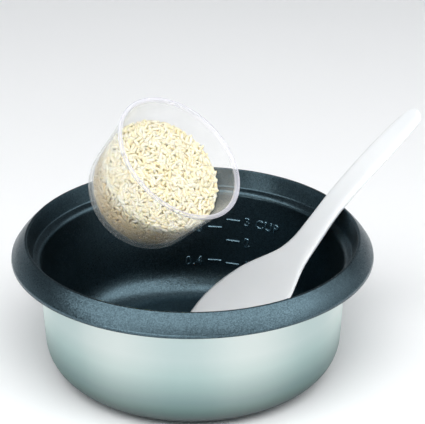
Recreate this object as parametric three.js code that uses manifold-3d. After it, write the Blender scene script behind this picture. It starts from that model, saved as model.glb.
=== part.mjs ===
// Inner pot of a small rice cooker, with the rice paddle that leans in it and the
// measuring cup of rice that is tipped over it. Millimetres, +Z up. The origin is the
// centre of the pot's flat base, and -Y is the front.

import * as THREE from 'three';
import { mergeVertices } from 'three/addons/utils/BufferGeometryUtils.js';
import Module from 'manifold-3d';

const wasm = await Module();
wasm.setup();

// ---- Driving dimensions -------------------------------------------------------------

// Pot. The radii and heights are those of its coated inner face.
const SHEET = 1.0; // aluminium
const COATING = 0.4; // non-stick skin, thicker than the real film
const FIT_GAP = 0.3; // between pieces that touch
const WALL_RADIUS = 83.7; // at the ledge
const WALL_DRAFT = THREE.MathUtils.degToRad(2.9);
const BASE_FILLET = 18.3;
const LEDGE_HEIGHT = 66.7;
const LEDGE_RISE = 1.7;
const BAND_RADIUS = 88.1; // foot of the upright band above the ledge
const RIM_HEIGHT = 78.7;
const RIM_INNER_RADIUS = 91.0;
const RIM_OUTER_RADIUS = 92.2;
const FLANGE_RADIUS = 100;
const FLANGE_EDGE_HEIGHT = 68.9;
const FLANGE_BULGE = 0.5; // how far the flange stands proud of a straight cone
const POT_SEGMENTS = 48;

// Rice paddle, measured along it from the tip of the blade.
const PADDLE_LENGTH = 195;
const PADDLE_TIP = new THREE.Vector3(-4.8, -7.2, 2.6);
const PADDLE_HEADING = THREE.MathUtils.degToRad(26.4);
const PADDLE_SLOPE = THREE.MathUtils.degToRad(39.5);
const PADDLE_ROLL = THREE.MathUtils.degToRad(-4);
const PADDLE_HALF_WIDTH = [
  [0, 10], [10, 22], [32, 32], [61, 29.2], [86, 13.9], [108, 10.4], [130, 9.9], [166, 10.1], [195, 8.3],
];
const PADDLE_THICKNESS = [[0, 1.4], [48, 2.0], [86, 3.4], [116, 3.8], [195, 3.6]];
const PADDLE_BEND = [[0, 0], [77, -7.0], [129, -0.7], [195, 0]]; // off the straight line
const PADDLE_DISH = [[0, 0.6], [37, 3.0], [72, 2.0], [97, 0], [195, 0]]; // hollow of the blade
const PADDLE_TIP_ROUND = 14;
const PADDLE_END_ROUND = 9;
const PADDLE_STATIONS = 30;
const PADDLE_SECTION_POINTS = 8; // on each face

// Measuring cup, 180 ml, in its own frame with its base at the origin.
const CUP_HEIGHT = 59;
const CUP_BASE_RADIUS = 30; // where its wall would meet the plane of its base
const CUP_MOUTH_RADIUS = 37.3;
const CUP_BASE_FILLET = 25;
const CUP_WALL = 1.1;
const CUP_BEAD_RADIUS = 38.6;
const CUP_BEAD_HEIGHT = 2.2;
const CUP_SEGMENTS = 44;
const CUP_PLACE = new THREE.Vector3(-38.6, 10, 85.6);
const CUP_TILT = THREE.MathUtils.degToRad(41.8);
const CUP_TILT_HEADING = THREE.MathUtils.degToRad(-33.8);

// Rice: how deep it lies along the cup's axis, and the slope of its surface.
const RICE_DEPTH = 40;
const RICE_SLOPE = THREE.MathUtils.degToRad(44);
const RICE_SLOPE_HEADING = THREE.MathUtils.degToRad(-48.5);

// ---- Materials ----------------------------------------------------------------------

const aluminium = new THREE.MeshStandardMaterial({ color: 0xc4c7c0, roughness: 0.35, metalness: 1 });
const coating = new THREE.MeshStandardMaterial({ color: 0x2b2f33, roughness: 0.45, metalness: 0.1 });
const paddlePlastic = new THREE.MeshStandardMaterial({ color: 0xf1f2f3, roughness: 0.4, metalness: 0 });
const clearPlastic = new THREE.MeshStandardMaterial({
  color: 0xeef1f4, roughness: 0.1, metalness: 0, transparent: true, opacity: 0.35,
});
const riceGrain = new THREE.MeshStandardMaterial({ color: 0xece2c6, roughness: 0.6, metalness: 0 });

// ---- Geometry helpers ---------------------------------------------------------------

/** Heading and slope, in radians, as a unit vector. */
function direction(heading, slope) {
  const level = Math.cos(slope);
  return new THREE.Vector3(level * Math.cos(heading), level * Math.sin(heading), Math.sin(slope));
}

/** How many flat steps an arc is made of: small fillets get fewer. */
function arcSteps(turn, radius) {
  const step = THREE.MathUtils.degToRad(radius > 5 ? 15 : 45);
  return Math.max(2, Math.ceil(Math.abs(turn) / step));
}

/**
 * The outline of one face of a pressed sheet, as Vector2 points of radius and height.
 * corners are [radius, height, fillet], and offset moves the face to the right of its
 * path. A fillet that turns left grows with the offset, and one that turns right shrinks.
 */
function sheetFace(corners, offset) {
  const points = corners.map(([radius, height]) => new THREE.Vector2(radius, height));
  const headings = points.slice(1).map((point, i) => point.clone().sub(points[i]).normalize());
  const rightOf = (heading) => new THREE.Vector2(heading.y, -heading.x);
  const face = [];
  points.forEach((point, i) => {
    const before = headings[Math.max(i - 1, 0)];
    const after = headings[Math.min(i, headings.length - 1)];
    const share = 1 + rightOf(before).dot(rightOf(after));
    const corner = rightOf(before).add(rightOf(after)).multiplyScalar(offset / share).add(point);
    const turn = Math.atan2(before.cross(after), before.dot(after));
    const radius = Math.max((corners[i][2] ?? 0) + Math.sign(turn) * offset, 0);
    if (radius === 0 || turn === 0) {
      face.push(corner);
      return;
    }
    const reach = radius * Math.tan(Math.abs(turn) / 2);
    const start = corner.clone().addScaledVector(before, -reach);
    const centre = start.clone().addScaledVector(rightOf(before), -Math.sign(turn) * radius);
    const steps = arcSteps(turn, radius);
    for (let step = 0; step <= steps; step += 1) {
      face.push(start.clone().rotateAround(centre, (turn * step) / steps));
    }
  });
  return face;
}

/** A closed solid of revolution about +Z from an outline that runs anticlockwise. */
function revolve(outline, segments) {
  return new THREE.LatheGeometry(outline, segments).rotateX(Math.PI / 2);
}

/** The smooth curve through [place, value] keys, read at one place. */
function valueAt(keys, place) {
  const last = keys.length - 2;
  const found = keys.findIndex((key, i) => i > 0 && place <= key[0]) - 1;
  const i = found < 0 ? last : found;
  const [x0, y0] = keys[i];
  const [x1, y1] = keys[i + 1];
  const rise = (k) => (keys[k + 1][1] - keys[k][1]) / (keys[k + 1][0] - keys[k][0]);
  const slopeStart = i > 0 ? (rise(i - 1) + rise(i)) / 2 : rise(i);
  const slopeEnd = i < last ? (rise(i) + rise(i + 1)) / 2 : rise(i);
  const t = THREE.MathUtils.clamp((place - x0) / (x1 - x0), 0, 1);
  const span = x1 - x0;
  return y0 * (1 + 2 * t) * (1 - t) ** 2 + y1 * t * t * (3 - 2 * t)
    + span * (slopeStart * t * (1 - t) ** 2 - slopeEnd * t * t * (1 - t));
}

/** A closed solid through rings of Vector3 that all have the same number of points. */
function loft(rings) {
  const around = rings[0].length;
  const corners = rings.flat();
  const middle = (ring) => ring.reduce((sum, point) => sum.add(point), new THREE.Vector3())
    .divideScalar(around);
  const firstCap = corners.push(middle(rings[0])) - 1;
  const lastCap = corners.push(middle(rings[rings.length - 1])) - 1;
  const index = [];
  for (let i = 0; i < around; i += 1) {
    const next = (i + 1) % around;
    const lastRing = (rings.length - 1) * around;
    index.push(firstCap, next, i, lastCap, lastRing + i, lastRing + next);
    for (let ring = 0; ring < lastRing; ring += around) {
      index.push(ring + i, ring + next, ring + around + next);
      index.push(ring + i, ring + around + next, ring + around + i);
    }
  }
  const geometry = new THREE.BufferGeometry().setFromPoints(corners);
  geometry.setIndex(index);
  return geometry;
}

/** A three.js geometry as a manifold-3d solid. */
function toSolid(geometry) {
  const bare = geometry.clone();
  bare.deleteAttribute('normal');
  bare.deleteAttribute('uv');
  const merged = mergeVertices(bare);
  return new wasm.Manifold(new wasm.Mesh({
    numProp: 3,
    vertProperties: new Float32Array(merged.attributes.position.array),
    triVerts: new Uint32Array(merged.index.array),
  }));
}

/** A manifold-3d solid as a three.js geometry. */
function toGeometry(solid) {
  const mesh = solid.getMesh();
  const geometry = new THREE.BufferGeometry();
  geometry.setAttribute('position', new THREE.BufferAttribute(mesh.vertProperties, 3));
  geometry.setIndex(new THREE.BufferAttribute(mesh.triVerts, 1));
  return geometry;
}

function piece(name, geometry, material) {
  const mesh = new THREE.Mesh(geometry, material);
  mesh.name = name;
  return mesh;
}

// ---- Pot: pressed bowl and its non-stick lining ---------------------------------------

const floorHeight = SHEET + COATING + FIT_GAP;
const wallFootRadius = WALL_RADIUS - (LEDGE_HEIGHT - floorHeight) * Math.tan(WALL_DRAFT);
const flangeMiddle = [
  (RIM_OUTER_RADIUS + FLANGE_RADIUS) / 2 + FLANGE_BULGE,
  (RIM_HEIGHT + FLANGE_EDGE_HEIGHT) / 2 + FLANGE_BULGE,
];

const bowlCorners = [
  [0, floorHeight],
  [wallFootRadius, floorHeight, BASE_FILLET],
  [WALL_RADIUS, LEDGE_HEIGHT, 3.6],
  [BAND_RADIUS, LEDGE_HEIGHT + LEDGE_RISE, 1.5],
];
const flangeCorners = [
  [...flangeMiddle, 30],
  [FLANGE_RADIUS, FLANGE_EDGE_HEIGHT],
];

/** Where the upright band and the flange would meet if the rim had no bead. */
function rimApex() {
  const foot = new THREE.Vector2(BAND_RADIUS, LEDGE_HEIGHT + LEDGE_RISE);
  const band = new THREE.Vector2(RIM_INNER_RADIUS, RIM_HEIGHT).sub(foot);
  const crest = new THREE.Vector2(RIM_OUTER_RADIUS, RIM_HEIGHT);
  const flange = new THREE.Vector2(...flangeMiddle).sub(crest);
  const share = crest.clone().sub(foot).cross(flange) / band.cross(flange);
  return foot.addScaledVector(band, share).toArray();
}

const coatedRim = [[RIM_INNER_RADIUS, RIM_HEIGHT, 0.6], [RIM_OUTER_RADIUS, RIM_HEIGHT, 0.6]];
const sheetRim = [[...rimApex(), 1.0]];

/** The solid between two faces of the pot, both given by how far they lie from the food. */
function pressing(rim, inner, outer) {
  const corners = [...bowlCorners, ...rim, ...flangeCorners];
  return revolve([...sheetFace(corners, outer), ...sheetFace(corners, inner).reverse()], POT_SEGMENTS);
}

function buildPot() {
  const pot = new THREE.Group();
  const coatedFace = COATING + FIT_GAP;
  pot.add(
    piece('pot_bowl', pressing(sheetRim, coatedFace, coatedFace + SHEET), aluminium),
    piece('nonstick_lining', pressing(coatedRim, 0, COATING), coating),
  );
  return pot;
}

// ---- Rice paddle ----------------------------------------------------------------------

/** How far the rounded tip and handle end narrow the paddle, as a share of its width. */
function endRounding(place) {
  const round = (distance, reach) => {
    const inside = THREE.MathUtils.clamp(1 - distance / reach, 0, 1);
    return Math.sqrt(1 - inside ** 2);
  };
  return round(place, PADDLE_TIP_ROUND) * round(PADDLE_LENGTH - place, PADDLE_END_ROUND);
}

function paddleSection(place) {
  const halfWidth = valueAt(PADDLE_HALF_WIDTH, place) * endRounding(place);
  const halfThickness = valueAt(PADDLE_THICKNESS, place) / 2;
  const bend = valueAt(PADDLE_BEND, place);
  const dish = Math.max(valueAt(PADDLE_DISH, place), 0);
  const ring = [];
  for (const side of [1, -1]) {
    for (let i = 0; i < PADDLE_SECTION_POINTS; i += 1) {
      const across = side * Math.cos((Math.PI * (i + 0.5)) / PADDLE_SECTION_POINTS);
      const edge = Math.sqrt(1 - Math.abs(across) ** 6);
      const height = bend + dish * across ** 2 + side * halfThickness * edge;
      ring.push(new THREE.Vector3(place, across * halfWidth, height));
    }
  }
  return ring;
}

function buildPaddle() {
  const inset = 0.25; // the outermost rings, short of the points where the width would be nil
  const rings = Array.from({ length: PADDLE_STATIONS }, (_, i) => {
    const share = (1 - Math.cos((Math.PI * i) / (PADDLE_STATIONS - 1))) / 2;
    return paddleSection(inset + (PADDLE_LENGTH - 2 * inset) * share);
  });
  const paddle = piece('rice_paddle', loft(rings), paddlePlastic);
  paddle.rotation.set(PADDLE_ROLL, -PADDLE_SLOPE, PADDLE_HEADING, 'ZYX');
  paddle.position.copy(PADDLE_TIP);
  return paddle;
}

// ---- Measuring cup and its rice ---------------------------------------------------------

const cupCorners = [[0, 0], [CUP_BASE_RADIUS, 0, CUP_BASE_FILLET], [CUP_MOUTH_RADIUS, CUP_HEIGHT]];

/** The cup's wall at a depth inside its outer face, from the axis up to the mouth. */
function cupFace(depth) {
  return sheetFace(cupCorners, -depth);
}

function cupShell() {
  const beadFoot = CUP_HEIGHT - CUP_BEAD_HEIGHT;
  const outer = cupFace(0);
  const mouth = outer.pop();
  outer.push(
    new THREE.Vector2(mouth.x - 0.3, beadFoot - 0.6),
    new THREE.Vector2(CUP_BEAD_RADIUS, beadFoot),
    new THREE.Vector2(CUP_BEAD_RADIUS, CUP_HEIGHT - 0.6),
    new THREE.Vector2(CUP_BEAD_RADIUS - 0.6, CUP_HEIGHT),
  );
  const inner = cupFace(CUP_WALL);
  inner[inner.length - 1].y = CUP_HEIGHT;
  return revolve([...outer, ...inner.reverse()], CUP_SEGMENTS);
}

/** The rice fills the cup below a sloping plane, with the fit gap all round. */
function riceHeap(surfaceNormal) {
  const filled = cupFace(CUP_WALL + FIT_GAP);
  filled.push(new THREE.Vector2(0, filled[filled.length - 1].y));
  const reach = 4 * CUP_HEIGHT;
  const above = new THREE.BoxGeometry(reach, reach, reach)
    .translate(0, 0, reach / 2)
    .applyQuaternion(new THREE.Quaternion().setFromUnitVectors(new THREE.Vector3(0, 0, 1), surfaceNormal))
    .translate(0, 0, RICE_DEPTH);
  return toGeometry(toSolid(revolve(filled, CUP_SEGMENTS)).subtract(toSolid(above)));
}

function buildCup() {
  const cup = new THREE.Group();
  const axis = direction(CUP_TILT_HEADING, Math.PI / 2 - CUP_TILT);
  cup.quaternion.setFromUnitVectors(new THREE.Vector3(0, 0, 1), axis);
  cup.position.copy(CUP_PLACE);
  const surfaceNormal = direction(RICE_SLOPE_HEADING, Math.PI / 2 - RICE_SLOPE)
    .applyQuaternion(cup.quaternion.clone().invert());
  cup.add(
    piece('measuring_cup', cupShell(), clearPlastic),
    piece('rice_heap', riceHeap(surfaceNormal), riceGrain),
  );
  return cup;
}

const object = new THREE.Group();
object.add(buildPot(), buildPaddle(), buildCup());

export default object;
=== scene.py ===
import itertools
import math
import random

import bpy
from mathutils import Euler, Matrix, Quaternion, Vector


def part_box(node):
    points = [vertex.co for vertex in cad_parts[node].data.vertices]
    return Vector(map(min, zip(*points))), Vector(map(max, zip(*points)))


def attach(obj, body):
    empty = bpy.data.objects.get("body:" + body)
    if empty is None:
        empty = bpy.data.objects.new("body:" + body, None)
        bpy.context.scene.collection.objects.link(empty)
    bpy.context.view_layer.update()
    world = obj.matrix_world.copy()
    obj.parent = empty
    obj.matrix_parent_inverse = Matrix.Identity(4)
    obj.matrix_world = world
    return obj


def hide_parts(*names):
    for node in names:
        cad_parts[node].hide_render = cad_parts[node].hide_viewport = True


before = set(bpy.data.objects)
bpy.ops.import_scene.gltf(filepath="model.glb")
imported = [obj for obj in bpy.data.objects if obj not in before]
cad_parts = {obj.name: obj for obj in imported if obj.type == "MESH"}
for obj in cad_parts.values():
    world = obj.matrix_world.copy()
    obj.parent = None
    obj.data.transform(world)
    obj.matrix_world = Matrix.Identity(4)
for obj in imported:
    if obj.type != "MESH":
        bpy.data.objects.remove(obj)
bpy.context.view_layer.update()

# Shapes below are written in millimetres, with their origin at the centre of the pot's
# base, and become metres in mesh_piece().
MM = 0.001

# ---- Driving dimensions, as in the CAD ------------------------------------------------

FLOOR_HEIGHT = 1.7
WALL_RADIUS = 83.7
WALL_DRAFT = math.radians(2.9)
BASE_FILLET = 18.3
LEDGE_HEIGHT = 66.7
LEDGE_RISE = 1.7
BAND_RADIUS = 88.1
RIM_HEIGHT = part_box("nonstick_lining")[1].z / MM
RIM_INNER_RADIUS = 91.0
RIM_OUTER_RADIUS = 92.2
FLANGE_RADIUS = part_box("nonstick_lining")[1].x / MM
FLANGE_EDGE_HEIGHT = 68.9
FLANGE_BULGE = 0.5
SHEET_OUTSIDE = 1.7
LINING_THICKNESS = 0.6
SHEET_INSIDE = 0.65
POT_SEGMENTS = 256

PADDLE_LENGTH = 195
PADDLE_TIP = Vector((-4.8, -7.2, 2.6))
PADDLE_HEADING = math.radians(26.4)
PADDLE_SLOPE = math.radians(39.5)
PADDLE_ROLL = math.radians(-4)
PADDLE_HALF_WIDTH = [
    (0, 10), (10, 22), (32, 32), (61, 29.2), (86, 13.9), (108, 10.4), (130, 9.9), (166, 10.1), (195, 8.3),
]
PADDLE_THICKNESS = [(0, 1.4), (48, 2.0), (86, 3.4), (116, 3.8), (195, 3.6)]
PADDLE_BEND = [(0, 0), (77, -7.0), (129, -0.7), (195, 0)]
PADDLE_DISH = [(0, 0.6), (37, 3.0), (72, 2.0), (97, 0), (195, 0)]
PADDLE_TIP_ROUND = 14
PADDLE_END_ROUND = 9

CUP_HEIGHT = 59
CUP_BASE_RADIUS = 30
CUP_MOUTH_RADIUS = 37.3
CUP_BASE_FILLET = 25
CUP_WALL = 1.1
CUP_BEAD_RADIUS = 38.6
CUP_BEAD_HEIGHT = 2.2
CUP_PLACE = Vector((-38.6, 10, 85.6))
CUP_TILT = math.radians(41.8)
CUP_TILT_HEADING = math.radians(-33.8)
CUP_SEGMENTS = 160

RICE_DEPTH = 40
RICE_SLOPE = math.radians(44)
RICE_SLOPE_HEADING = math.radians(-48.5)
GRAIN_LENGTH = 5.5
GRAIN_WIDTH = 2.25

# Painted reflection: how many bands of sheen the aluminium's colour has round the wall.
PAINTED_SHEEN_BANDS = 7

# Camera, in metres: its place, how far it looks down and to the right, and its lens.
CAMERA_PLACE = (-0.00329, -0.81498, 0.47119)
CAMERA_DOWN = 0.43612
CAMERA_RIGHT = 0.01749
CAMERA_LENS = 139.0
SENSOR_WIDTH = 36.0


# ---- Mesh helpers ----------------------------------------------------------------------

def direction(heading, slope):
    level = math.cos(slope)
    return Vector((level * math.cos(heading), level * math.sin(heading), math.sin(slope)))


def mesh_piece(name, points, faces, material, place=None):
    """A smooth mesh from points in millimetres, moved by the matrix place."""
    mesh = bpy.data.meshes.new(name)
    moved = [place @ Vector(point) for point in points] if place else [Vector(p) for p in points]
    mesh.from_pydata([point * MM for point in moved], [], faces)
    mesh.polygons.foreach_set("use_smooth", [True] * len(mesh.polygons))
    mesh.materials.append(material)
    mesh.update()
    piece = bpy.data.objects.new(name, mesh)
    bpy.context.scene.collection.objects.link(piece)
    return piece


def sheet_face(corners, offset, arc_step=math.radians(6)):
    """One face of a sheet as (radius, height) points. corners are (radius, height, fillet),
    and offset moves the face to the right of its path."""
    points = [Vector(corner[:2]) for corner in corners]
    headings = [(b - a).normalized() for a, b in zip(points, points[1:])]
    right = lambda heading: Vector((heading.y, -heading.x))
    face = []
    for i, point in enumerate(points):
        before = headings[max(i - 1, 0)]
        after = headings[min(i, len(headings) - 1)]
        share = 1 + right(before).dot(right(after))
        corner = point + (right(before) + right(after)) * offset / share
        turn = math.atan2(before.x * after.y - before.y * after.x, before.dot(after))
        fillet = corners[i][2] if len(corners[i]) > 2 else 0
        radius = max(fillet + math.copysign(offset, turn), 0) if turn else 0
        if radius < 1e-6:
            face.append(tuple(corner))
            continue
        start = corner - before * radius * math.tan(abs(turn) / 2)
        centre = start - right(before) * math.copysign(radius, turn)
        steps = max(3, math.ceil(abs(turn) / arc_step))
        for step in range(steps + 1):
            spoke = Matrix.Rotation(turn * step / steps, 2) @ (start - centre)
            face.append(tuple(centre + spoke))
    return face


def resample(face, longest):
    """The same face with points added so that no straight stretch is longer than longest."""
    out = [face[0]]
    for a, b in zip(face, face[1:]):
        count = max(1, math.ceil(math.dist(a, b) / longest))
        for k in range(1, count + 1):
            share = k / count
            out.append((a[0] + (b[0] - a[0]) * share, a[1] + (b[1] - a[1]) * share))
    return out


def revolved(outline, segments):
    """Points and faces of the closed surface that an outline from axis to axis sweeps."""
    points, rings = [], []
    for radius, height in outline:
        if radius < 1e-4:
            rings.append([len(points)])
            points.append((0, 0, height))
            continue
        rings.append(list(range(len(points), len(points) + segments)))
        for k in range(segments):
            angle = 2 * math.pi * k / segments
            points.append((radius * math.cos(angle), radius * math.sin(angle), height))
    faces = []
    for low, high in zip(rings, rings[1:]):
        for k in range(segments):
            n = (k + 1) % segments
            if len(low) == 1:
                faces.append((low[0], high[n], high[k]))
            elif len(high) == 1:
                faces.append((low[k], low[n], high[0]))
            else:
                faces.append((low[k], low[n], high[n], high[k]))
    return points, faces


def value_at(keys, place):
    """The smooth curve through (place, value) keys, read at one place."""
    last = len(keys) - 2
    i = next((k for k in range(last + 1) if place <= keys[k + 1][0]), last)
    (x0, y0), (x1, y1) = keys[i], keys[i + 1]
    rise = lambda k: (keys[k + 1][1] - keys[k][1]) / (keys[k + 1][0] - keys[k][0])
    slope_start = (rise(i - 1) + rise(i)) / 2 if i > 0 else rise(i)
    slope_end = (rise(i) + rise(i + 1)) / 2 if i < last else rise(i)
    span = x1 - x0
    t = min(max((place - x0) / span, 0), 1)
    level = y0 * (1 + 2 * t) * (1 - t) ** 2 + y1 * t * t * (3 - 2 * t)
    return level + span * (slope_start * t * (1 - t) ** 2 - slope_end * t * t * (1 - t))


# ---- Materials -------------------------------------------------------------------------

class Nodes:
    """A short way to write a procedural material."""

    def __init__(self, name, **sockets):
        self.material = bpy.data.materials.new(name)
        self.material.use_nodes = True
        self.tree = self.material.node_tree
        self.shader = self.tree.nodes["Principled BSDF"]
        for socket, value in sockets.items():
            self.shader.inputs[socket.replace("_", " ")].default_value = value

    def add(self, kind, **settings):
        node = self.tree.nodes.new(kind)
        for setting, value in settings.items():
            setattr(node, setting, value)
        return node

    def link(self, output, socket):
        self.tree.links.new(output, socket)

    def math(self, operation, a, b=None, c=None):
        node = self.add("ShaderNodeMath", operation=operation)
        for socket, value in zip(node.inputs, (a, b, c)):
            self.put(value, socket)
        return node.outputs[0]

    def vector(self, operation, a, b=None, output=0):
        node = self.add("ShaderNodeVectorMath", operation=operation)
        for socket, value in zip(node.inputs, (a, b)):
            self.put(value, socket)
        return node.outputs[output]

    def put(self, value, socket):
        if value is None:
            return
        if isinstance(value, bpy.types.NodeSocket):
            self.link(value, socket)
        else:
            socket.default_value = value

    def place(self):
        return self.add("ShaderNodeTexCoord").outputs["Object"]

    def noise(self, vector, scale, detail=2.0, roughness=0.5):
        node = self.add("ShaderNodeTexNoise")
        self.link(vector, node.inputs["Vector"])
        node.inputs["Scale"].default_value = scale
        node.inputs["Detail"].default_value = detail
        node.inputs["Roughness"].default_value = roughness
        return node.outputs["Fac"]

    def stretch(self, vector, scale):
        node = self.add("ShaderNodeMapping")
        self.link(vector, node.inputs["Vector"])
        node.inputs["Scale"].default_value = scale
        return node.outputs[0]

    def ramp(self, factor, *stops):
        """stops are (position, colour)."""
        node = self.add("ShaderNodeValToRGB")
        self.link(factor, node.inputs[0])
        elements = node.color_ramp.elements
        while len(elements) < len(stops):
            elements.new(0.5)
        for element, (position, colour) in zip(elements, stops):
            element.position = position
            element.color = (*colour, 1)
        return node.outputs[0]

    def tinted(self, colour, tint):
        """The product of two colours."""
        node = self.add("ShaderNodeMix", data_type="RGBA", blend_type="MULTIPLY")
        node.inputs["Factor"].default_value = 1.0
        first, second = [socket for socket in node.inputs if socket.type == "RGBA"]
        self.link(colour, first)
        self.link(tint, second)
        return next(output for output in node.outputs if output.type == "RGBA")

    def range(self, value, low, high, to_low, to_high):
        node = self.add("ShaderNodeMapRange")
        for socket, number in zip(node.inputs, (value, low, high, to_low, to_high)):
            self.put(number, socket)
        return node.outputs[0]

    def bump(self, height, distance, strength=1.0, normal=None):
        node = self.add("ShaderNodeBump")
        node.inputs["Distance"].default_value = distance
        node.inputs["Strength"].default_value = strength
        self.link(height, node.inputs["Height"])
        if normal is not None:
            self.link(normal, node.inputs["Normal"])
        return node.outputs[0]

    def finish(self, **links):
        for socket, output in links.items():
            self.link(output, self.shader.inputs[socket.replace("_", " ")])
        return self.material


def brushed_aluminium():
    """Spun sheet: fine rings round the axis, painted reflection as soft bands of sheen down the wall, and
    painted shade that darkens the foot.
    """
    m = Nodes("brushed_aluminium", Metallic=1.0, Anisotropic=0.85)
    place = m.place()
    parts = m.add("ShaderNodeSeparateXYZ")
    m.link(place, parts.inputs[0])
    flat = m.vector("MULTIPLY", place, (1, 1, 0))
    along = m.math("ADD", m.vector("LENGTH", flat, output="Value"), parts.outputs["Z"])
    rings = m.add("ShaderNodeTexNoise", noise_dimensions="1D")
    m.link(along, rings.inputs["W"])
    rings.inputs["Scale"].default_value = 2600
    rings.inputs["Detail"].default_value = 3
    # Painted reflection: streaks and bands of sheen, lighter and darker round the wall, painted into the
    # colour.
    streaks = m.noise(m.stretch(place, (1, 1, 0.12)), 30, 3)
    azimuth = m.math("ARCTAN2", parts.outputs["Y"], parts.outputs["X"])
    turned = m.math("MULTIPLY_ADD", azimuth, PAINTED_SHEEN_BANDS, math.radians(115) * PAINTED_SHEEN_BANDS)
    wave = m.math("COSINE", m.math("ADD", turned, m.math("MULTIPLY", streaks, 1.2)))
    shade = m.math("MULTIPLY_ADD", wave, 0.42, m.math("MULTIPLY_ADD", streaks, 0.5, 0.22))
    painted_sheen = m.ramp(shade, (0.0, (0.47, 0.57, 0.56)), (1.0, (0.63, 0.685, 0.665)))
    # Painted shade: the colour darkens towards the foot of the wall.
    height = m.range(parts.outputs["Z"], 0.0, 0.046, 0.0, 1.0)
    painted_foot_shade = m.ramp(
        height, (0.0, (0.08, 0.11, 0.12)), (0.17, (0.18, 0.22, 0.225)), (0.30, (0.30, 0.37, 0.36)),
        (0.43, (0.41, 0.48, 0.48)), (0.61, (0.62, 0.69, 0.69)), (0.78, (0.83, 0.89, 0.88)),
        (1.0, (1, 1, 1)),
    )
    colour = m.tinted(painted_sheen, painted_foot_shade)
    rough = m.range(rings.outputs["Fac"], 0.3, 0.7, 0.40, 0.48)
    tangent = m.add("ShaderNodeTangent", direction_type="RADIAL", axis="Z")
    return m.finish(
        Base_Color=colour,
        Roughness=rough,
        Normal=m.bump(rings.outputs["Fac"], 0.00004, 0.35),
        Tangent=tangent.outputs[0],
    )


def nonstick_coating(name="nonstick_coating", gain=1.0, low=0.27, high=0.34):
    """Dark blue-grey baked coating: fine metal flakes, each tilted a little, in a satin finish."""
    m = Nodes(name, Metallic=0.97)
    place = m.place()
    cells = m.add("ShaderNodeTexVoronoi")
    m.link(place, cells.inputs["Vector"])
    cells.inputs["Scale"].default_value = 1900
    random_tilt = m.vector("SCALE", m.vector("SUBTRACT", cells.outputs["Color"], (0.5, 0.5, 0.5)))
    random_tilt.node.inputs["Scale"].default_value = 0.09
    surface = m.add("ShaderNodeNewGeometry").outputs["Normal"]
    tilted = m.vector("NORMALIZE", m.vector("ADD", surface, random_tilt))
    pick = m.add("ShaderNodeSeparateColor")
    m.link(cells.outputs["Color"], pick.inputs[0])
    clouds = m.noise(place, 1400, 2)
    fleck = m.math("ADD", m.math("MULTIPLY", pick.outputs[0], 0.6), m.math("MULTIPLY", clouds, 0.4))
    tones = ((0.1, (0.045, 0.071, 0.086)), (0.5, (0.068, 0.107, 0.127)), (0.95, (0.100, 0.155, 0.184)))
    colour = m.ramp(fleck, *((at, tuple(gain * part for part in tone)) for at, tone in tones))
    rough = m.range(m.noise(place, 1100, 2), 0.3, 0.7, low, high)
    return m.finish(
        Base_Color=colour,
        Roughness=rough,
        Normal=m.bump(m.noise(place, 800, 2), 0.00006, 0.4, tilted),
    )


def paddle_plastic():
    m = Nodes("paddle_plastic", Roughness=0.42, IOR=1.49, Subsurface_Weight=0.15, Subsurface_Scale=0.004)
    m.shader.inputs["Subsurface Radius"].default_value = (1.0, 0.9, 0.8)
    place = m.place()
    clouds = m.noise(place, 35, 3)
    grain = m.noise(place, 1100, 2)
    colour = m.ramp(clouds, (0.3, (0.82, 0.84, 0.85)), (0.7, (0.85, 0.865, 0.875)))
    return m.finish(Base_Color=colour, Normal=m.bump(grain, 0.00003, 0.3))


def clear_plastic():
    """Thin clear plastic, slightly milky, that looks denser where it is seen edge on and at the bead, where
    a lilac tint is painted reflection.
    """
    m = Nodes("clear_plastic", IOR=1.46)
    place = m.place()
    haze = m.noise(place, 45, 3)
    edge = m.add("ShaderNodeLayerWeight")
    edge.inputs["Blend"].default_value = 0.5
    body = m.add("ShaderNodeFloatCurve")
    m.link(edge.outputs["Facing"], body.inputs["Value"])
    points = body.mapping.curves[0].points
    points[0].location = (0, 0.05)
    points[1].location = (1, 0.80)
    points.new(0.45, 0.09)
    points.new(0.75, 0.24)
    up = m.vector("DOT_PRODUCT", m.vector("SUBTRACT", place, CUP_PLACE * MM), CUP_AXIS, output="Value")
    foot = (CUP_HEIGHT - CUP_BEAD_HEIGHT) * MM
    bead = m.range(up, foot - 0.0006, foot + 0.0004, 0.0, 1.0)
    milk = m.math("ADD", body.outputs[0], m.range(haze, 0.3, 0.7, -0.02, 0.04))
    thick = m.range(edge.outputs["Facing"], 0.15, 0.9, 0.26, 0.85)
    dense = m.math("MAXIMUM", milk, m.math("MULTIPLY", bead, thick))
    # Painted reflection: the bead is tinted lilac.
    colour = m.ramp(bead, (0.0, (0.78, 0.81, 0.80)), (1.0, (0.83, 0.82, 0.90)))
    rough = m.range(m.noise(place, 60, 3), 0.35, 0.65, 0.07, 0.14)
    return m.finish(Base_Color=colour, Roughness=rough, Alpha=dense)


def painted_rice_shade(m, start):
    """Painted shade: darkens and browns the rice packed against the wall, from start millimetres under its
    surface.
    """
    point = CUP_MATRIX @ Vector((0, 0, RICE_DEPTH)) * MM
    normal = direction(RICE_SLOPE_HEADING, math.pi / 2 - RICE_SLOPE)
    level = m.vector("DOT_PRODUCT", m.vector("SUBTRACT", m.place(), point), normal, output="Value")
    deep = m.range(level, -start * MM, -(start + 9) * MM, 0.0, 1.0)
    return m.ramp(deep, (0.0, (1, 1, 1)), (0.35, (0.80, 0.73, 0.61)), (1.0, (0.64, 0.55, 0.42)))


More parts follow.
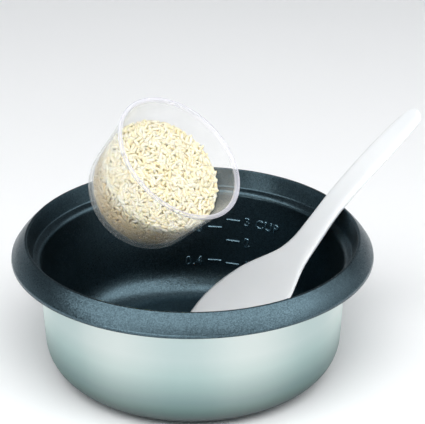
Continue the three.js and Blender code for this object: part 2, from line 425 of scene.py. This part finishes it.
def rice_grain():
    """Each grain has its own tint, and painted shade makes the rice darker and browner deep in the cup."""
    m = Nodes("rice_grain", Roughness=0.42, IOR=1.5, Subsurface_Weight=0.35, Subsurface_Scale=0.0015)
    m.shader.inputs["Subsurface Radius"].default_value = (1.0, 0.75, 0.4)
    tint = m.add("ShaderNodeNewGeometry").outputs["Random Per Island"]
    colour = m.ramp(
        tint, (0.0, (0.84, 0.72, 0.47)), (0.2, (0.86, 0.77, 0.54)), (0.6, (0.87, 0.79, 0.59)),
        (1.0, (0.89, 0.84, 0.68)),
    )
    shaded = m.tinted(colour, painted_rice_shade(m, 2.5))
    return m.finish(Base_Color=shaded, Normal=m.bump(m.noise(m.place(), 1800, 2), 0.00005, 0.4))


def rice_shadow():
    """The rice deep between the outer grains."""
    m = Nodes("rice_shadow", Roughness=0.8)
    lumps = m.noise(m.place(), 420, 3)
    colour = m.ramp(lumps, (0.35, (0.62, 0.48, 0.27)), (0.65, (0.86, 0.75, 0.52)))
    # Painted shade darkens the core deep in the cup too.
    shaded = m.tinted(colour, painted_rice_shade(m, 5.0))
    return m.finish(Base_Color=shaded, Normal=m.bump(lumps, 0.0008, 1.0))


def studio_floor():
    m = Nodes("studio_floor", Roughness=0.7)
    colour = m.ramp(m.noise(m.place(), 3, 2), (0.3, (0.93, 0.935, 0.94)), (0.7, (0.95, 0.955, 0.96)))
    return m.finish(Base_Color=colour)


ALUMINIUM = brushed_aluminium()
COATING = nonstick_coating()
# The marks use the coating painted 2.6 times brighter: painted highlight on their ridges.
PAINTED_HIGHLIGHT_MARKS = nonstick_coating("painted_highlight_marks", gain=2.6, low=0.20, high=0.25)
PADDLE_PLASTIC = paddle_plastic()


# ---- Pot -------------------------------------------------------------------------------

wall_foot = WALL_RADIUS - (LEDGE_HEIGHT - FLOOR_HEIGHT) * math.tan(WALL_DRAFT)
flange_middle = (
    (RIM_OUTER_RADIUS + FLANGE_RADIUS) / 2 + FLANGE_BULGE,
    (RIM_HEIGHT + FLANGE_EDGE_HEIGHT) / 2 + FLANGE_BULGE,
)
BOWL = [
    (0, FLOOR_HEIGHT),
    (wall_foot, FLOOR_HEIGHT, BASE_FILLET),
    (WALL_RADIUS, LEDGE_HEIGHT, 3.8),
    (BAND_RADIUS, LEDGE_HEIGHT + LEDGE_RISE, 1.6),
]
COATED_RIM = [(RIM_INNER_RADIUS, RIM_HEIGHT, 0.6), (RIM_OUTER_RADIUS, RIM_HEIGHT, 0.6)]
FLANGE = [(*flange_middle, 30), (FLANGE_RADIUS - 0.35, FLANGE_EDGE_HEIGHT + 0.75, 1.3)]
FLANGE_LIP = (FLANGE_RADIUS - 0.1, FLANGE_EDGE_HEIGHT - 0.9)


def rim_apex():
    """Where the band and the flange would meet if the rim had no bead."""
    foot = Vector((BAND_RADIUS, LEDGE_HEIGHT + LEDGE_RISE))
    crest = Vector((RIM_OUTER_RADIUS, RIM_HEIGHT))
    band = Vector((RIM_INNER_RADIUS, RIM_HEIGHT)) - foot
    flange = Vector(flange_middle) - crest
    cross = lambda a, b: a.x * b.y - a.y * b.x
    return foot + band * cross(crest - foot, flange) / cross(band, flange)


def wall_radius(height):
    return WALL_RADIUS - (LEDGE_HEIGHT - height) * math.tan(WALL_DRAFT)


def pressing(name, rim, inner, outer, material):
    corners = BOWL + rim + FLANGE + [FLANGE_LIP]
    outline = resample(sheet_face(corners, outer), 6) + resample(sheet_face(corners, inner), 6)[::-1]
    return mesh_piece(name, *revolved(outline, POT_SEGMENTS), material)


def build_pot():
    apex = rim_apex()
    bowl = pressing("pot_shell", [(apex.x, apex.y, 1.0)], SHEET_INSIDE, SHEET_OUTSIDE, ALUMINIUM)
    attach(bowl, "pot")
    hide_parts("pot_bowl")
    lining = pressing("pot_lining", COATED_RIM, 0, LINING_THICKNESS, COATING)
    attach(lining, "pot")
    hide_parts("nonstick_lining")


# ---- Water marks pressed into the wall ---------------------------------------------------

MARK_PROUD = 1.0
FIGURE_SIZE = 5.5
CUP_LINE_AZIMUTH = math.radians(72.5)
LITRE_LINE_AZIMUTH = math.radians(80.3)
CUP_FIGURE_AZIMUTH = math.radians(67.6)
LITRE_FIGURE_AZIMUTH = math.radians(92.9)


def on_wall(across, height, proud, azimuth):
    """A point on the inner wall: across is to the right as seen from inside the pot."""
    radius = wall_radius(height) - proud
    angle = azimuth - across / WALL_RADIUS
    return radius * math.cos(angle), radius * math.sin(angle), height


def mark_line(name, azimuth, height, length=9.2, half_width=0.7):
    """A ridge with a rounded section and round ends."""
    points, faces = [], []
    stations, around = 24, 8
    for s in range(stations + 1):
        across = -length / 2 + length * s / stations
        from_end = min(across + length / 2, length / 2 - across)
        share = math.sqrt(max(1 - max(1 - from_end / half_width, 0) ** 2, 0.01))
        for k in range(around + 1):
            angle = math.pi * k / around
            up = height - math.cos(angle) * half_width * share
            points.append(on_wall(across, up, MARK_PROUD * share * math.sin(angle) - 0.1, azimuth))
    for s in range(stations):
        for k in range(around):
            a = s * (around + 1) + k
            faces.append((a, a + around + 1, a + around + 2, a + 1))
    return mesh_piece(name, points, faces, PAINTED_HIGHLIGHT_MARKS)


def mark_text(name, text, azimuth, height, size):
    """Figures raised on the wall, from the built-in typeface. azimuth is their left edge."""
    curve = bpy.data.curves.new(name, "FONT")
    curve.body = text
    curve.size = size * 1.4
    curve.extrude = 0.25
    curve.bevel_depth = 0.36
    curve.bevel_resolution = 2
    curve.offset = -0.04
    curve.resolution_u = 6
    curve.space_character = 1.15
    holder = bpy.data.objects.new(name + "_curve", curve)
    bpy.context.scene.collection.objects.link(holder)
    bpy.context.view_layer.update()
    mesh = bpy.data.meshes.new_from_object(holder.evaluated_get(bpy.context.evaluated_depsgraph_get()))
    bpy.data.objects.remove(holder)
    points = [on_wall(v.co.x, height - size / 2 + v.co.y, v.co.z, azimuth) for v in mesh.vertices]
    faces = [tuple(polygon.vertices) for polygon in mesh.polygons]
    return mesh_piece(name, points, faces, PAINTED_HIGHLIGHT_MARKS)


def build_marks():
    """Three cup marks and two litre marks: each a line with its figures beside it."""
    lines = [
        ("mark_line_1", CUP_LINE_AZIMUTH, 20.4),
        ("mark_line_2", CUP_LINE_AZIMUTH, 35.6),
        ("mark_line_3", CUP_LINE_AZIMUTH, 49.1),
        ("mark_line_low", LITRE_LINE_AZIMUTH, 21.7),
        ("mark_line_high", LITRE_LINE_AZIMUTH, 43.6),
    ]
    figures = [
        ("mark_figure_1", "1", CUP_FIGURE_AZIMUTH, 20.4),
        ("mark_figure_2", "2", CUP_FIGURE_AZIMUTH, 35.7),
        ("mark_figure_3", "3 CUP", CUP_FIGURE_AZIMUTH, 49.0),
        ("mark_figure_low", "0.4", LITRE_FIGURE_AZIMUTH, 21.0),
        ("mark_figure_high", "0.8", LITRE_FIGURE_AZIMUTH, 43.0),
    ]
    marks = [mark_line(*line) for line in lines]
    marks += [mark_text(*figure, FIGURE_SIZE) for figure in figures]
    for mark in marks:
        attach(mark, "pot")


# ---- Rice paddle -------------------------------------------------------------------------

def paddle_section(place, per_face=14):
    rounding = lambda distance, reach: math.sqrt(1 - min(max(1 - distance / reach, 0), 1) ** 2)
    ends = rounding(place, PADDLE_TIP_ROUND) * rounding(PADDLE_LENGTH - place, PADDLE_END_ROUND)
    half_width = value_at(PADDLE_HALF_WIDTH, place) * ends
    half_thickness = value_at(PADDLE_THICKNESS, place) / 2
    bend = value_at(PADDLE_BEND, place)
    dish = max(value_at(PADDLE_DISH, place), 0)
    ring = []
    for side in (1, -1):
        for i in range(per_face):
            across = side * math.cos(math.pi * (i + 0.5) / per_face)
            edge = math.sqrt(1 - abs(across) ** 6)
            face = bend + dish * across ** 2
            ring.append((place, across * half_width, face + side * half_thickness * edge))
    return ring


def build_paddle():
    inset, stations = 0.2, 110
    rings = []
    for i in range(stations):
        share = (1 - math.cos(math.pi * i / (stations - 1))) / 2
        rings.append(paddle_section(inset + (PADDLE_LENGTH - 2 * inset) * share))
    around = len(rings[0])
    points = [point for ring in rings for point in ring]
    faces = [tuple(range(around))[::-1], tuple(range(len(points) - around, len(points)))]
    for first in range(0, len(points) - around, around):
        for i in range(around):
            n = (i + 1) % around
            faces.append((first + i, first + n, first + around + n, first + around + i))
    turn = (
        Matrix.Rotation(PADDLE_HEADING, 4, "Z")
        @ Matrix.Rotation(-PADDLE_SLOPE, 4, "Y")
        @ Matrix.Rotation(PADDLE_ROLL, 4, "X")
    )
    paddle = mesh_piece("paddle", points, faces, PADDLE_PLASTIC, Matrix.Translation(PADDLE_TIP) @ turn)
    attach(paddle, "paddle")
    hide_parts("rice_paddle")


# ---- Measuring cup -------------------------------------------------------------------------

CUP_CORNERS = [(0, 0), (CUP_BASE_RADIUS, 0, CUP_BASE_FILLET), (CUP_MOUTH_RADIUS, CUP_HEIGHT)]
CUP_AXIS = direction(CUP_TILT_HEADING, math.pi / 2 - CUP_TILT)
CUP_TURN = Vector((0, 0, 1)).rotation_difference(CUP_AXIS)
CUP_MATRIX = Matrix.Translation(CUP_PLACE) @ CUP_TURN.to_matrix().to_4x4()
CLEAR_PLASTIC = clear_plastic()
RICE_GRAIN = rice_grain()
RICE_SHADOW = rice_shadow()


def cup_face(depth):
    return sheet_face(CUP_CORNERS, -depth)


def cup_inner_radius(height, depth):
    """The inner radius of the cup at a height, at a depth inside its outer face."""
    face = cup_face(depth)
    for (r0, z0), (r1, z1) in zip(face, face[1:]):
        if z0 <= height <= z1 and z1 > z0:
            return r0 + (r1 - r0) * (height - z0) / (z1 - z0)
    return face[-1][0] if height > face[-1][1] else 0


def build_cup():
    bead_foot = CUP_HEIGHT - CUP_BEAD_HEIGHT
    outer = cup_face(0)
    mouth = outer.pop()[0]
    outer = resample(outer + [(mouth - 0.3, bead_foot - 0.9)], 5)
    bead_middle = (CUP_BEAD_RADIUS + mouth - CUP_WALL) / 2
    half_width = (CUP_BEAD_RADIUS - mouth + CUP_WALL) / 2
    half_height = CUP_BEAD_HEIGHT / 2
    inner_mouth = mouth - CUP_WALL
    bead = []
    for step in range(15):
        angle = math.radians(-100 + 265 * step / 14)
        bead.append((
            bead_middle + half_width * math.cos(angle),
            bead_foot + half_height + half_height * math.sin(angle),
        ))
    inner = [point for point in cup_face(CUP_WALL) if point[1] < bead_foot - 0.5]
    inner = resample(inner + [(inner_mouth - 0.2, bead_foot - 0.4)], 5)
    points, faces = revolved(outer + bead + inner[::-1], CUP_SEGMENTS)
    cup = mesh_piece("cup", points, faces, CLEAR_PLASTIC, CUP_MATRIX)
    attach(cup, "cup")
    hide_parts("measuring_cup")


# ---- Rice ------------------------------------------------------------------------------------

SURFACE_NORMAL = CUP_TURN.inverted() @ direction(RICE_SLOPE_HEADING, math.pi / 2 - RICE_SLOPE)
RICE_ROOM = CUP_WALL + 0.1
CORE_INSET = 2.2
CORE_DROP = 2.3
HEAP_CELL = 3
HEAP_SEED = 11


def surface_height(x, y):
    return RICE_DEPTH - (SURFACE_NORMAL.x * x + SURFACE_NORMAL.y * y) / SURFACE_NORMAL.z


def grain_shape():
    """A unit grain along X: blunt at one end, pointed at the other, and slightly flat."""
    around, stations = 7, (0.06, 0.2, 0.42, 0.66, 0.86, 0.97)
    points = [(-0.5, 0, 0)]
    for share in stations:
        swell = (4 * share * (1 - share)) ** 0.42 * (1.04 - 0.16 * share)
        for k in range(around):
            angle = 2 * math.pi * k / around
            points.append((share - 0.5, 0.5 * swell * math.cos(angle), 0.44 * swell * math.sin(angle)))
    points.append((0.5, 0, 0))
    last = len(points) - 1
    faces = []
    for k in range(around):
        n = (k + 1) % around
        faces.append((0, 1 + n, 1 + k))
        faces.append((last, last - around + k, last - around + n))
        for s in range(len(stations) - 1):
            low = 1 + s * around
            faces.append((low + k, low + n, low + around + n, low + around + k))
    return points, faces


class Heap:
    """Grains laid one by one without crowding."""

    def __init__(self, seed):
        self.random = random.Random(seed)
        self.grains = []
        self.cells = {}

    def crowded(self, place, spacing):
        x, y, z = (math.floor(c / HEAP_CELL) for c in place)
        for dx, dy, dz in itertools.product((-1, 0, 1), repeat=3):
            for other in self.cells.get((x + dx, y + dy, z + dz), ()):
                if (other - place).length < spacing:
                    return True
        return False

    def lay(self, place, normal, spacing, lean):
        """Adds a grain that lies along a surface, leaning out of it by up to lean."""
        if self.crowded(place, spacing):
            return
        side = normal.orthogonal().normalized()
        along = Quaternion(normal, self.random.uniform(0, 2 * math.pi)) @ side
        along = Quaternion(normal.cross(along), self.random.uniform(-lean, lean)) @ along
        length = GRAIN_LENGTH * self.random.uniform(0.82, 1.12)
        if not self.inside(place + along * length / 2) or not self.inside(place - along * length / 2):
            ring = Vector((-place.y, place.x, 0))
            if ring.length < 1:
                return
            along = (ring - normal * ring.dot(normal)).normalized()
            if not self.inside(place + along * length / 2) or not self.inside(place - along * length / 2):
                return
        width = GRAIN_WIDTH * self.random.uniform(0.85, 1.12)
        self.cells.setdefault(tuple(math.floor(c / HEAP_CELL) for c in place), []).append(place)
        self.grains.append((place, along, normal, length, width))

    @staticmethod
    def inside(point):
        room = cup_inner_radius(point.z, RICE_ROOM + GRAIN_WIDTH * 0.36)
        return point.z > CUP_WALL and math.hypot(point.x, point.y) <= room

    def mesh(self):
        shape, shape_faces = grain_shape()
        points, faces = [], []
        for place, along, normal, length, width in self.grains:
            third = normal.cross(along).normalized()
            up = along.cross(third)
            spin = self.random.uniform(0, 2 * math.pi)
            side = third * math.cos(spin) + up * math.sin(spin)
            up = along.cross(side)
            first = len(points)
            bow = self.random.uniform(-0.12, 0.12)
            for x, y, z in shape:
                bent = z * width + bow * (0.25 - x * x) * 2
                points.append(place + along * x * length + side * y * width + up * bent)
            faces += [tuple(first + i for i in face) for face in shape_faces]
        return points, faces


def lay_rice():
    heap = Heap(HEAP_SEED)
    pick = heap.random
    reach = CUP_MOUTH_RADIUS
    for spacing, depth, tries in ((1.8, 0.5, 34000), (2.2, 1.2, 14000)):
        face = resample(cup_face(RICE_ROOM + GRAIN_WIDTH * depth), 1)
        stretches = list(zip(face, face[1:]))
        lengths = [math.dist(a, b) for a, b in stretches]
        for _ in range(tries):
            (r0, z0), (r1, z1) = pick.choices(stretches, lengths)[0]
            share = pick.random()
            radius, height = r0 + (r1 - r0) * share, z0 + (z1 - z0) * share
            angle = pick.uniform(0, 2 * math.pi)
            place = Vector((radius * math.cos(angle), radius * math.sin(angle), height))
            if pick.random() > radius / reach or height > surface_height(place.x, place.y) - 0.4:
                continue
            out = Vector((z1 - z0, r0 - r1)).normalized()
            normal = Vector((out.x * math.cos(angle), out.x * math.sin(angle), out.y))
            heap.lay(place, normal, spacing, math.radians(6))
    for depth, spacing, lean, tries in ((0.4, 1.6, 32, 20000), (1.7, 1.8, 20, 12000), (3.0, 2.2, 20, 6000)):
        for _ in range(tries):
            x, y = pick.uniform(-reach, reach), pick.uniform(-reach, reach)
            top = Vector((x, y, surface_height(x, y)))
            place = top - SURFACE_NORMAL * (depth + pick.uniform(-0.7, 0.7))
            if heap.inside(place):
                heap.lay(place, SURFACE_NORMAL, spacing, math.radians(lean))
    return heap


def build_rice():
    heap = lay_rice()
    grains = mesh_piece("rice_grains", *heap.mesh(), RICE_GRAIN, CUP_MATRIX)
    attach(grains, "cup")
    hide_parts("rice_heap")

    face = sheet_face(CUP_CORNERS, -(RICE_ROOM + CORE_INSET))
    outline = resample(face, 3)
    points, faces = revolved(outline + [(0, outline[-1][1])], 72)
    lowered = []
    for x, y, z in points:
        z = min(z, surface_height(x, y) - CORE_DROP)
        share = min(1, cup_inner_radius(z, RICE_ROOM + CORE_INSET) / max(math.hypot(x, y), 0.1))
        lowered.append((x * share, y * share, z))
    core = mesh_piece("rice_core", lowered, faces, RICE_SHADOW, CUP_MATRIX)
    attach(core, "cup")


# ---- Studio --------------------------------------------------------------------------------

def build_camera():
    data = bpy.data.cameras.new("camera")
    data.lens = CAMERA_LENS
    data.sensor_width = SENSOR_WIDTH
    data.sensor_fit = "HORIZONTAL"
    camera = bpy.data.objects.new("camera", data)
    camera.location = CAMERA_PLACE
    camera.rotation_euler = Euler((math.pi / 2 - CAMERA_DOWN, 0, -CAMERA_RIGHT))
    bpy.context.scene.collection.objects.link(camera)
    bpy.context.scene.camera = camera


def softbox(name, place, target, width, height, radiance, colour=(1, 1, 1)):
    data = bpy.data.lights.new(name, "AREA")
    data.shape = "RECTANGLE"
    data.size = width
    data.size_y = height
    data.energy = radiance * math.pi * width * height
    data.color = colour
    light = bpy.data.objects.new(name, data)
    light.location = place
    light.rotation_euler = (Vector(target) - Vector(place)).to_track_quat("-Z", "Y").to_euler()
    bpy.context.scene.collection.objects.link(light)
    return light


STUDIO_MIDDLE = Vector((0, 0, 0.05))


def around_pot(azimuth, elevation, distance):
    """A place in metres seen from the middle of the pot, with its angles in degrees."""
    return STUDIO_MIDDLE + direction(math.radians(azimuth), math.radians(elevation)) * distance


def build_studio():
    floor = mesh_piece(
        "floor", [(-3000, -3000, 0), (3000, -3000, 0), (3000, 3000, 0), (-3000, 3000, 0)], [(0, 1, 2, 3)],
        studio_floor(),
    )
    for name, azimuth, width, radiance in (("left_box", -118, 2.6, 4.2), ("right_box", -50, 1.4, 2.5)):
        place = around_pot(azimuth, 10, 2.3)
        softbox(name, place, STUDIO_MIDDLE, width, 0.8, radiance).visible_diffuse = False
    softbox("front_bank", (0.2, -1.05, 1.75), (0.2, -0.9, 0), 6.6, 2.1, 2.3)
    side = around_pot(5, 30, 2.5)
    softbox("side_panel", side, STUDIO_MIDDLE, 1.8, 1.4, 1.0).visible_diffuse = False
    fill = around_pot(-92, 62, 2.0)
    softbox("blade_fill", fill, STUDIO_MIDDLE, 1.4, 1.4, 2.2).visible_glossy = False
    build_world()


def build_world():
    """A pale backdrop round the horizon under a dim ceiling."""
    world = bpy.data.worlds.new("studio")
    world.use_nodes = True
    nodes, links = world.node_tree.nodes, world.node_tree.links
    parts = nodes.new("ShaderNodeSeparateXYZ")
    links.new(nodes.new("ShaderNodeTexCoord").outputs["Generated"], parts.inputs[0])
    ramp = nodes.new("ShaderNodeValToRGB")
    links.new(parts.outputs["Z"], ramp.inputs[0])
    low, high = ramp.color_ramp.elements
    low.position, low.color = 0.17, (0.45, 0.48, 0.50, 1)
    high.position, high.color = 0.30, (0.10, 0.11, 0.12, 1)
    links.new(ramp.outputs[0], nodes["Background"].inputs[0])
    bpy.context.scene.world = world
    bpy.context.scene.view_settings.view_transform = "Standard"


build_camera()
build_studio()
build_pot()
build_marks()
build_paddle()
build_cup()
build_rice()
